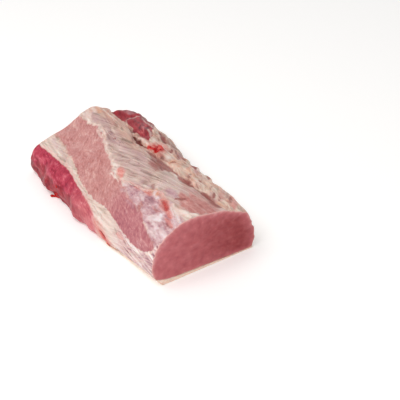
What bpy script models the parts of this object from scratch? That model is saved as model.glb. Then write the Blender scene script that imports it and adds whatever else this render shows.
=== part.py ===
"""A raw boneless pork loin, cut square across the muscle at one end and lying on its fat side.

Units are metres in the scene and millimetres in the tables, +Z up. The length runs along X, with the fresh
cut at +X. The origin is at the centre of the base. There are two solids: the lean meat, and the layer of back
fat that it lies on, which shows as a rim at the foot of the cut and laps up the left flank beside it.
"""

import math

import bmesh
import bpy
import numpy as np
from mathutils import Vector, noise

MM = 0.001

# Driving sizes, in millimetres, and how finely the shape is divided.
LENGTH = 250.0
STATION_STEP = 6.0
OUTLINE_POINTS = 111
OVER_POINTS = 48
SEAM_POINTS = 12
EDGE_POINTS = 4
SEAM_GAP = 0.3

# The outline across the loin at five even shares of its length, as (across, up): left foot, low flank, flank,
# haunch, slope, left crown; then crown, brow, shoulder, high right flank, right flank, right foot.
OUTLINES = {
    0.00: (
        ((-72, 0), (-72, 15), (-66, 30), (-51, 36), (-28, 44), (-4, 55)),
        ((8, 58), (22, 52), (40, 44), (58, 37), (71, 26), (74, 0)),
    ),
    0.25: (
        ((-74, 0), (-75, 12), (-71, 25), (-56, 36), (-34, 47), (-10, 57)),
        ((3, 60), (20, 55), (38, 49), (56, 41), (68, 28), (71, 0)),
    ),
    0.50: (
        ((-73, 0), (-75, 10), (-72, 25), (-58, 38), (-39, 50), (-18, 60)),
        ((-3, 62), (16, 58), (33, 52), (48, 43), (58, 28), (61, 0)),
    ),
    0.75: (
        ((-66, 0), (-70, 10), (-69, 26), (-61, 42), (-46, 54), (-27, 62)),
        ((-10, 64), (10, 60), (28, 54), (44, 44), (55, 28), (57, 0)),
    ),
    1.00: (
        ((-57, 0), (-65, 11), (-67, 27), (-61, 45), (-50, 56), (-33, 64)),
        ((-16, 65), (8, 60), (26, 54), (39, 44), (47, 27), (50, 0)),
    ),
}

# The crease that parts the rib strip from the loin: where it runs, as (share of the length, across).
CREASE_PATH = (
    (0.0, 34.0),
    (0.15, 29.0),
    (0.27, 22.0),
    (0.36, 13.0),
    (0.5, 10.5),
    (0.7, 10.0),
    (0.85, 12.5),
    (1.0, 19.0),
)
CREASE_DEPTH = 4.5
CREASE_HALF_WIDTH = 4.5
CREASE_RUNS_OUT = (0.5, 1.1)

# The dark muscle along the left flank: it swells in lobes and ends two thirds of the way along.
SIDE_MUSCLE_RUNS_OUT = (0.55, 0.72)
SIDE_MUSCLE_TOP = (24.0, 36.0)
SIDE_MUSCLE_SWELL = 2.5
SIDE_MUSCLE_LOBES = 4.5

# The unevenness of the whole surface, which fades out down to the feet.
LUMP_HEIGHT = 1.3
LUMP_SIZE = 24.0
FADE_HEIGHT = (0.0, 12.0)

# The upper side of the back fat from its left edge inwards, as (inwards from the left foot, up). Beside the
# cut it laps up the flank. Further along it stays hidden under the dark muscle, and its edge lies inset.
FAT_LAP_HEIGHT = 10.0
FAT_RIGHT_HEIGHT = 1.2
FAT_SHOWN = ((-3, 8), (3, 6), (13, 4.6), (37, 3), (72, 2), (95, 1.4))
FAT_HIDDEN = ((0, 1.2), (3, 2.4), (9, 3.4), (22, 3.8), (46, 3.4), (85, 2.4))
FAT_INSET = 12.0
FAT_LEAST_INSET = 0.7

# The shares of the length between which the fat's edge comes out, shows on the flank and laps up it.
FAT_COMES_OUT = (0.42, 0.6)
FAT_SHOWS = (0.6, 0.68)
FAT_LAPS = (0.62, 0.86)


def mix(a, b, share):
    return np.asarray(a, float) * (1 - share) + np.asarray(b, float) * share


def smooth_step(edges, value):
    """0 below the first edge, 1 above the second and smooth in between."""
    low, high = edges
    t = min(max((value - low) / (high - low), 0.0), 1.0)
    return t * t * (3 - 2 * t)


def curve_at(points, share):
    """The point at a share (0 to 1) of the smooth curve through evenly counted points."""
    points = np.asarray(points, float)
    place = min(max(share, 0.0), 1.0) * (len(points) - 1)
    i = min(int(place), len(points) - 2)
    t = place - i
    a, b = points[i], points[i + 1]
    before = points[i - 1] if i else 2 * a - b
    after = points[i + 2] if i + 2 < len(points) else 2 * b - a
    bend = (2 * before - 5 * a + 4 * b - after) * t**2 + (3 * a - before - 3 * b + after) * t**3
    return 0.5 * (2 * a + (b - before) * t + bend)


def smooth_curve(points, count):
    return np.array([curve_at(points, share) for share in np.linspace(0, 1, count)])


def resample(line, count):
    """The same line through a given count of evenly spaced points."""
    line = np.asarray(line, float)
    run = np.concatenate([[0], np.cumsum(np.linalg.norm(np.diff(line, axis=0), axis=1))])
    even = np.linspace(0, run[-1], count)
    return np.stack([np.interp(even, run, line[:, 0]), np.interp(even, run, line[:, 1])], axis=1)


def outward(line):
    """The unit normal at each point of a line, to the left of its direction."""
    along = np.gradient(line, axis=0)
    return np.stack([-along[:, 1], along[:, 0]], axis=1) / np.linalg.norm(along, axis=1)[:, None]


def relief(share, across, up):
    """How far the surface stands out, in mm, from the smooth outline at a point of it."""
    crease_y = np.interp(share, *zip(*CREASE_PATH))
    crease = math.exp(-(((across - crease_y) / CREASE_HALF_WIDTH) ** 2))
    crease *= 1 - smooth_step(CREASE_RUNS_OUT, share)
    on_left_flank = 1 - smooth_step(SIDE_MUSCLE_TOP, up) if across < 0 else 0.0
    lobes = 0.5 + 0.5 * math.cos(share * SIDE_MUSCLE_LOBES * 2 * math.pi)
    swell = SIDE_MUSCLE_SWELL * on_left_flank * lobes * (1 - smooth_step(SIDE_MUSCLE_RUNS_OUT, share))
    lump = LUMP_HEIGHT * noise.noise(Vector((share * LENGTH, across, up)) / LUMP_SIZE)
    return (swell + lump) * smooth_step(FADE_HEIGHT, up) - CREASE_DEPTH * crease


def outline(share):
    """The outline over the loin from foot to foot, with its relief, as a fine line of points."""
    stations = [left + right for left, right in OUTLINES.values()]
    marks = [curve_at(station_marks, share) for station_marks in zip(*stations)]
    line = resample(smooth_curve(marks, 2 * OUTLINE_POINTS), OUTLINE_POINTS)
    height = np.array([relief(share, *point) for point in line])
    line = line + outward(line) * height[:, None]
    line[:, 1] = np.maximum(line[:, 1], 0.0)
    return line


def split_at_height(line, height):
    """The part of a line up to where it first reaches a height, and the rest of it."""
    above = int(np.argmax(line[:, 1] > height))
    low, high = line[above - 1], line[above]
    corner = mix(low, high, (height - low[1]) / (high[1] - low[1]))
    return np.vstack([line[:above], corner]), np.vstack([corner, line[above:]])


def above_heights(line, left, right):
    """The line without what lies below a height on each flank."""
    kept = split_at_height(line, left)[1] if left > 0 else line
    return split_at_height(kept[::-1], right)[1][::-1]


def sections(share):
    """The closed section of the lean and the one of the back fat at a share of the length."""
    line = outline(share)
    foot = line[0, 0]
    shown = smooth_step(FAT_SHOWS, share)
    lapped = smooth_step(FAT_LAPS, share)
    lap_height = max(FAT_LAP_HEIGHT * lapped, FAT_RIGHT_HEIGHT)
    inset = foot + FAT_LEAST_INSET + FAT_INSET * (1 - smooth_step(FAT_COMES_OUT, share))
    flank = split_at_height(line, lap_height)[0]
    right_edge = split_at_height(line[::-1], FAT_RIGHT_HEIGHT)[0][-1]

    # The seam between fat and lean runs from the fat's left edge to the right flank.
    shown_marks = [(foot + inwards, up) for inwards, up in FAT_SHOWN]
    shown_marks[:2] = [(inwards, mix(FAT_RIGHT_HEIGHT, up, lapped)) for inwards, up in shown_marks[:2]]
    hidden_marks = [(inset + inwards, up) for inwards, up in FAT_HIDDEN]
    seam_shown = smooth_curve(np.vstack([flank[-1], shown_marks, right_edge]), SEAM_POINTS)
    seam_hidden = smooth_curve(np.vstack([hidden_marks, right_edge]), SEAM_POINTS)
    seam = mix(seam_hidden, seam_shown, shown)

    # The lean goes over the top, back above the seam, and out along its own foot where the fat is inset.
    start = shown * (lap_height + SEAM_GAP)
    over = resample(above_heights(line, start, FAT_RIGHT_HEIGHT + SEAM_GAP), OVER_POINTS)
    under = seam + outward(seam) * SEAM_GAP
    corner = inset - SEAM_GAP
    under[0] = mix((corner, under[0][1]), mix(over[0], under[1], 0.6), shown)
    lip = mix((corner, 0.0), mix(over[0], under[1], 0.3), shown)
    lean = np.vstack([over, under[::-1][1:], lip])

    # The fat follows the seam, then the right foot, the floor and its left edge back up to the seam.
    floor_ends = ((line[-1, 0], 0.0), (mix(inset, foot, shown), 0.0))
    edge_hidden = resample((floor_ends[1], seam[0]), EDGE_POINTS + 2)
    edge = mix(edge_hidden, resample(flank, EDGE_POINTS + 2), shown)
    fat = np.vstack([seam, resample(floor_ends, SEAM_POINTS), edge[1:-1]])
    return lean, fat


def loft(name, rows, places):
    """A closed mesh through sections of equal point counts, which stand at places along X."""
    work = bmesh.new()
    rings = [[work.verts.new((x * MM, y * MM, z * MM)) for y, z in row] for x, row in zip(places, rows)]
    count = len(rings[0])
    for near, far in zip(rings, rings[1:]):
        for k in range(count):
            work.faces.new((near[k], near[(k + 1) % count], far[(k + 1) % count], far[k]))
    work.faces.new(rings[0])
    work.faces.new(rings[-1])
    bmesh.ops.recalc_face_normals(work, faces=work.faces)
    mesh = bpy.data.meshes.new(name)
    work.to_mesh(mesh)
    work.free()
    obj = bpy.data.objects.new(name, mesh)
    bpy.context.collection.objects.link(obj)
    return obj


def finish(obj, colour, roughness):
    """Gives a piece its material and smooth shading, with a crisp edge round the cut."""
    look = bpy.data.materials.new(obj.name)
    look.use_nodes = True
    shader = look.node_tree.nodes["Principled BSDF"]
    shader.inputs["Base Color"].default_value = (*colour, 1.0)
    shader.inputs["Roughness"].default_value = roughness
    shader.inputs["Metallic"].default_value = 0.0
    obj.data.materials.append(look)
    obj.data.shade_smooth()
    obj.data.set_sharp_from_angle(angle=math.radians(45))


def main():
    for old in list(bpy.data.objects):
        bpy.data.objects.remove(old)
    shares = np.linspace(0, 1, round(LENGTH / STATION_STEP) + 1)
    leans, fats = zip(*[sections(share) for share in shares])
    across = np.vstack(leans + fats)[:, 0]
    centre = np.array([(across.min() + across.max()) / 2, 0])
    places = (shares - 0.5) * LENGTH
    finish(loft("lean", [row - centre for row in leans], places), (0.56, 0.19, 0.19), 0.42)
    finish(loft("fat_cap", [row - centre for row in fats], places), (0.83, 0.70, 0.58), 0.5)


main()
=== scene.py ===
import itertools
import math

import bmesh
import bpy
import numpy as np
from mathutils import Matrix, Vector
from mathutils.bvhtree import BVHTree


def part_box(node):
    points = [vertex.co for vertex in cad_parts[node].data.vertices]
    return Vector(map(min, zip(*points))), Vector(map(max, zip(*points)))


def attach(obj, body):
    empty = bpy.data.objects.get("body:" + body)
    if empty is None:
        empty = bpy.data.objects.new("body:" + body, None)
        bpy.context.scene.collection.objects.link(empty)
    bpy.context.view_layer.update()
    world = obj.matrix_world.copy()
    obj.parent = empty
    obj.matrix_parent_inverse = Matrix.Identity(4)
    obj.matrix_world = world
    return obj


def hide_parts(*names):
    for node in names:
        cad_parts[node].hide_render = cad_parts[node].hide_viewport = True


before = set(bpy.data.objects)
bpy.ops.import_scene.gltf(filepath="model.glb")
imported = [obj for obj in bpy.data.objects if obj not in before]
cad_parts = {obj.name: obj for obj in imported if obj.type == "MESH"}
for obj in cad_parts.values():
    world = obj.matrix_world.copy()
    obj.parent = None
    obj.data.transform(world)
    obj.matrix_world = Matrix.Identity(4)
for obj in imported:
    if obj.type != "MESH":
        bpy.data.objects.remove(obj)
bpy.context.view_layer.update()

# ---------------------------------------------------------------------------------------------------------
# The table and the light. A white light table that glows a little, under one wide soft box and white room
# light. The camera looks down over the left flank at the fresh cut.

CAMERA_TARGET = Vector((0.0265, 0.054, 0.0))
CAMERA_DISTANCE = 1.02
CAMERA_AZIMUTH = math.radians(56.09)
CAMERA_ELEVATION = math.radians(35.0)
SOFT_BOX_AZIMUTH = math.radians(5.0)
SOFT_BOX_ELEVATION = math.radians(60.0)
SOFT_BOX_DISTANCE = 1.5
SOFT_BOX_SIZE = (1.2, 0.9)
SOFT_BOX_WATTS = 11.0
SOFT_BOX_TINT = (1.0, 0.985, 0.96)
ROOM_TINT = (1.0, 0.984, 0.97, 1.0)
ROOM_STRENGTH = 0.6
TABLE_SIZE = 6.0
TABLE_WHITE = (0.96, 0.96, 0.96, 1.0)
TABLE_GLOW = 0.17


def aim(obj, place, target):
    """Puts a camera or a lamp at a place and turns it to look at a target."""
    obj.location = place
    obj.rotation_euler = (target - place).to_track_quat("-Z", "Y").to_euler()
    bpy.context.collection.objects.link(obj)


def around(azimuth, elevation, distance):
    """The point at a compass angle, height angle and distance from the middle of the view."""
    flat = math.cos(elevation) * distance
    step = Vector((math.sin(azimuth) * flat, -math.cos(azimuth) * flat, math.sin(elevation) * distance))
    return CAMERA_TARGET + step


def finished(work, name):
    """Turns a bmesh into an object of that name, and puts the bmesh away."""
    mesh = bpy.data.meshes.new(name)
    work.to_mesh(mesh)
    work.free()
    obj = bpy.data.objects.new(name, mesh)
    bpy.context.collection.objects.link(obj)
    return obj


camera_data = bpy.data.cameras.new("camera")
camera_data.lens = 85.0
camera_data.clip_start = 0.05
camera = bpy.data.objects.new("camera", camera_data)
aim(camera, around(CAMERA_AZIMUTH, CAMERA_ELEVATION, CAMERA_DISTANCE), CAMERA_TARGET)
bpy.context.scene.camera = camera
bpy.context.scene.view_settings.view_transform = "Standard"

room = bpy.data.worlds.new("room")
room.use_nodes = True
room.node_tree.nodes["Background"].inputs["Color"].default_value = ROOM_TINT
room.node_tree.nodes["Background"].inputs["Strength"].default_value = ROOM_STRENGTH
bpy.context.scene.world = room

soft_box_data = bpy.data.lights.new("soft_box", "AREA")
soft_box_data.shape = "RECTANGLE"
soft_box_data.size, soft_box_data.size_y = SOFT_BOX_SIZE
soft_box_data.energy = SOFT_BOX_WATTS
soft_box_data.color = SOFT_BOX_TINT
soft_box = bpy.data.objects.new("soft_box", soft_box_data)
aim(soft_box, around(SOFT_BOX_AZIMUTH, SOFT_BOX_ELEVATION, SOFT_BOX_DISTANCE), CAMERA_TARGET)

bench = bmesh.new()
bmesh.ops.create_grid(bench, x_segments=1, y_segments=1, size=TABLE_SIZE / 2)
table_top = finished(bench, "table_top")
table_look = bpy.data.materials.new("white_table")
table_look.use_nodes = True
table_shader = table_look.node_tree.nodes["Principled BSDF"]
table_shader.inputs["Base Color"].default_value = TABLE_WHITE
table_shader.inputs["Roughness"].default_value = 0.6
table_shader.inputs["Emission Color"].default_value = (1.0, 1.0, 1.0, 1.0)
table_shader.inputs["Emission Strength"].default_value = TABLE_GLOW
table_top.data.materials.append(table_look)

# ---------------------------------------------------------------------------------------------------------
# The block of meat. One piece of lean from foot to foot, with a square cut at each end. It is made as a
# skin of rings drawn tight onto the solid, each from the right foot over the crown to the left foot and
# back under the meat, so that each tissue can be laid on it and raised or sunk by itself.

# Lengths along and round the loin are in mm, and angles round its axis in degrees: 0 at the right, 90 at
# the crown, 180 at the left.
MM = 0.001
HALF_LENGTH = 125.0
AXIS_HEIGHT = 10.0
RIGHT_FOOT = -8.0
LEFT_FOOT = 188.0
RINGS = 248
POINTS_OVER = 240
POINTS_UNDER = 40
RAYS = 720
RAY_START = 0.2
RING_SAMPLES = 800
END_MARGIN = 0.05


def copy_of(node):
    """A CAD node as one merged bmesh, in metres."""
    copy = bmesh.new()
    copy.from_mesh(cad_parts[node].data)
    bmesh.ops.remove_doubles(copy, verts=copy.verts, dist=1e-6)
    return copy


def reach_of(solid, along):
    """How far a solid reaches from the axis, in mm, at each place along it and each angle round it."""
    tree = BVHTree.FromBMesh(solid)
    reach = np.zeros((len(along), RAYS))
    for k in range(RAYS):
        turn = 2 * math.pi * k / RAYS
        outward = Vector((0.0, math.cos(turn), math.sin(turn)))
        for i, x in enumerate(along):
            inside = min(max(x, END_MARGIN - HALF_LENGTH), HALF_LENGTH - END_MARGIN)
            axis = Vector((inside, 0.0, AXIS_HEIGHT)) * MM
            hit = tree.ray_cast(axis + outward * RAY_START, -outward)[0]
            reach[i, k] = (hit - axis).length / MM
    return reach


def soften(field, spread, axis, wrap):
    """A field with a gaussian blur along one of its axes."""
    reach = int(3 * spread)
    weights = np.exp(-0.5 * (np.arange(-reach, reach + 1) / spread) ** 2)
    weights /= weights.sum()
    widths = [(reach, reach) if a == axis else (0, 0) for a in range(2)]
    padded = np.pad(field, widths, mode="wrap" if wrap else "edge")
    return np.apply_along_axis(lambda line: np.convolve(line, weights, "valid"), axis, padded)


def ring_points(reach, angles):
    """The points (across, up) of one ring at some angles, in mm."""
    rays = np.arange(RAYS + 1) * 360.0 / RAYS
    distance = np.interp(np.mod(angles, 360.0), rays, np.append(reach, reach[0]))
    turn = np.radians(angles)
    return np.stack([distance * np.cos(turn), AXIS_HEIGHT + distance * np.sin(turn)], -1)


def even_angles(reach, first, last, count):
    """Angles at even steps along the ring, from the first one up to just before the last one."""
    angles = np.linspace(first, last, RING_SAMPLES)
    steps = np.linalg.norm(np.diff(ring_points(reach, angles), axis=0), axis=1)
    run = np.concatenate([[0], np.cumsum(steps)])
    return np.interp(np.linspace(0, run[-1], count + 1), run, angles)[:-1]


along = np.linspace(-HALF_LENGTH, HALF_LENGTH, RINGS)
lean_solid = copy_of("lean")
lean_reach = reach_of(lean_solid, along)
lean_solid.free()
lean_reach = soften(soften(lean_reach, 2.5, 0, False), 2.0, 1, True)

angle = np.zeros((RINGS, POINTS_OVER + POINTS_UNDER))
section = np.zeros((RINGS, POINTS_OVER + POINTS_UNDER, 2))
for i in range(RINGS):
    over = even_angles(lean_reach[i], RIGHT_FOOT, LEFT_FOOT, POINTS_OVER)
    back = even_angles(lean_reach[i], LEFT_FOOT, RIGHT_FOOT + 360.0, POINTS_UNDER)
    angle[i] = np.concatenate([over, back])
    section[i] = ring_points(lean_reach[i], angle[i])

# For every point of the skin: its place X, Y and Z, its distance from the axis, and its girth, which is how
# far round the skin it lies from the crown, below 0 on the right and above 0 on the left.
X = np.broadcast_to(along[:, None], angle.shape)
Y = section[..., 0]
Z = section[..., 1]
radius = np.hypot(Y, Z - AXIS_HEIGHT)
steps = np.linalg.norm(np.diff(section, axis=1, append=section[:, :1]), axis=2)
run = np.cumsum(steps, axis=1) - steps
crown = np.array([np.interp(90.0, angle[i], run[i]) for i in range(RINGS)])
girth = run - crown[:, None]
full_girth = steps.sum(axis=1)

# ---------------------------------------------------------------------------------------------------------
# The tissues. Round the loin lie the dark side muscle, a seam of fat, the bare pink eye, silverskin, a deep
# crease and the rib strip with a dark end muscle. Each is a share from 0 to 1 at every point of the skin,
# with torn, wandering borders, and a tone for its streaks and blotches.

# The large primes that stir the corners of the random field, and how many slopes a corner can have.
HASH_PRIMES = (73856093, 19349663, 83492791, 1274126177, 668265263)
SLOPES = 4096
# How near the table the skin may come, in mm.
TABLE_GAP = 0.15


def smooth_step(low, high, value):
    """A share that rises smoothly from 0 at one value to 1 at another, which may also be the lower one."""
    t = np.clip((value - low) / (high - low), 0.0, 1.0)
    return t * t * (3 - 2 * t)


def band(distance, half_width):
    """A share that is 1 on a line and fades on both sides of it."""
    return np.exp(-((distance / half_width) ** 2))


def through(knots, at):
    """A smooth line through (place, value) knots, read at many places."""
    place, value = np.array(knots, float).T
    slope = np.gradient(value, place)
    i = np.clip(np.searchsorted(place, at) - 1, 0, len(place) - 2)
    span = place[i + 1] - place[i]
    t = np.clip((at - place[i]) / span, 0, 1)
    rise = value[i] * (1 + 2 * t) * (1 - t) ** 2 + value[i + 1] * t * t * (3 - 2 * t)
    return rise + span * (slope[i] * t * (1 - t) ** 2 + slope[i + 1] * t * t * (t - 1))


def grain(u, v, seed):
    """A smooth random field between about -1 and 1, with features one unit across."""
    spot = np.stack(np.broadcast_arrays(u, v), -1) + 31.7 * seed
    cell = np.floor(spot).astype(np.int64)
    part = spot - cell
    ease = part**3 * (part * (part * 6 - 15) + 10)
    total = 0.0
    for corner in itertools.product((0, 1), repeat=2):
        at = cell + corner
        mixed = (at[..., 0] * HASH_PRIMES[0]) ^ (at[..., 1] * HASH_PRIMES[1]) ^ (seed * HASH_PRIMES[2])
        mixed = ((mixed ^ (mixed >> 13)) * HASH_PRIMES[3]) & 0x7FFFFFFF
        mixed = ((mixed ^ (mixed >> 15)) * HASH_PRIMES[4]) & 0x7FFFFFFF
        turn = (mixed >> 8) % SLOPES * (2 * math.pi / SLOPES)
        slope = np.stack([np.cos(turn), np.sin(turn)], -1)
        weight = np.where(corner, ease, 1 - ease).prod(-1)
        total = total + weight * (slope * (part - corner)).sum(-1)
    return total * 1.6


def turned(degrees):
    """Distances along and across a grain that runs at an angle to the length, towards the left flank."""
    turn = math.radians(degrees)
    return X * math.cos(turn) + girth * math.sin(turn), girth * math.cos(turn) - X * math.sin(turn)


def mottle(length, width, seed, degrees=0.0):
    """The random field over the skin, in patches of about a length and a width, turned as a grain is."""
    u, v = turned(degrees)
    return grain(u / length, v / width, seed)


def drift(length, seed):
    """A slow drift along the loin, the same all round it."""
    return grain(X / length, 0 * X, seed)


def creases(u, v, seed):
    """Narrow lines between 0 and 1, like the folds in a thin skin."""
    return 1 - np.clip(np.abs(grain(u, v, seed)) * 2.6, 0, 1)


def streaks(place, length, width, seed):
    """Soft streaks of about a length and a width, along the first of a pair of distances."""
    u, v = place
    bend = grain(u / length / 2, v / width / 5, seed + 25)
    u, v = u + 0.3 * length * bend, v + 1.2 * width * bend
    coarse = grain(u / length, v / width, seed)
    fine = grain(u / length * 1.6, v / width * 2.1, seed + 50)
    strength = 0.8 + 0.7 * mottle(22, 17, seed + 75)
    return (1.3 * coarse + 0.7 * fine) * np.clip(strength, 0.2, 1.3)


def beyond(line):
    """How far each point lies past a line round the loin, in mm, towards the left foot."""
    return np.radians(angle - through(line, X)) * radius


# Where one tissue gives way to the next, each as (along, angle) from the far end to the fresh cut.
MUSCLE_TOP = (
    (-125, 159.5), (-90, 159), (-60, 158), (-40, 160.5), (-20, 162), (0, 164.5), (15, 168), (30, 173),
    (50, 180), (125, 200),
)
SEAM_TOP = (
    (-125, 144), (-100, 145), (-80, 148), (-60, 150), (-50, 153), (-40, 156), (-20, 158.5), (0, 160),
    (10, 160), (25, 157), (40, 157.5), (60, 160), (85, 162), (100, 162), (110, 160), (118, 154),
    (125, 144),
)
EYE_TOP = (
    (-125, 99), (-118, 103), (-108, 101), (-100, 102), (-88, 97), (-80, 98), (-70, 101.5), (-60, 107),
    (-50, 112), (-40, 117), (-25, 120), (-12, 126), (0, 129.5), (12, 130.5), (22, 131.5), (42, 134.5),
    (60, 136.5), (80, 138.5), (90, 141), (102, 144.5), (112, 147), (118, 149), (125, 153),
)
CREASE = (
    (-125, 49), (-100, 51), (-85, 54), (-70, 58), (-55, 63), (-45, 67), (-35, 69.5), (-20, 71),
    (0, 71.5), (40, 71.5), (75, 72), (100, 70), (125, 68),
)
END_TOP = ((-125, 48), (-98, 48.5), (-80, 52), (-60, 57), (-45, 59), (-34, 57), (-28, 50), (125, -40))
END_LOW = (
    (-125, 8), (-105, 16), (-80, 24), (-68, 30), (-57, 39), (-48, 45), (-38, 53), (-30, 62), (125, 90),
)
RIDGE = (
    (-125, 140), (10, 131), (22, 128), (40, 123.5), (60, 119), (66, 115), (90, 114), (105, 118),
    (125, 119),
)
# The way the threads run in the silverskin and in the frayed seam, as (along, round the skin).
SKIN_THREADS = ((-125, 0), (-80, 6), (-40, 13), (0, 6), (40, -9), (80, -21), (125, -28))
STRAND_THREADS = ((-125, -6), (50, 0), (85, 7), (105, 12), (125, 18))

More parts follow.
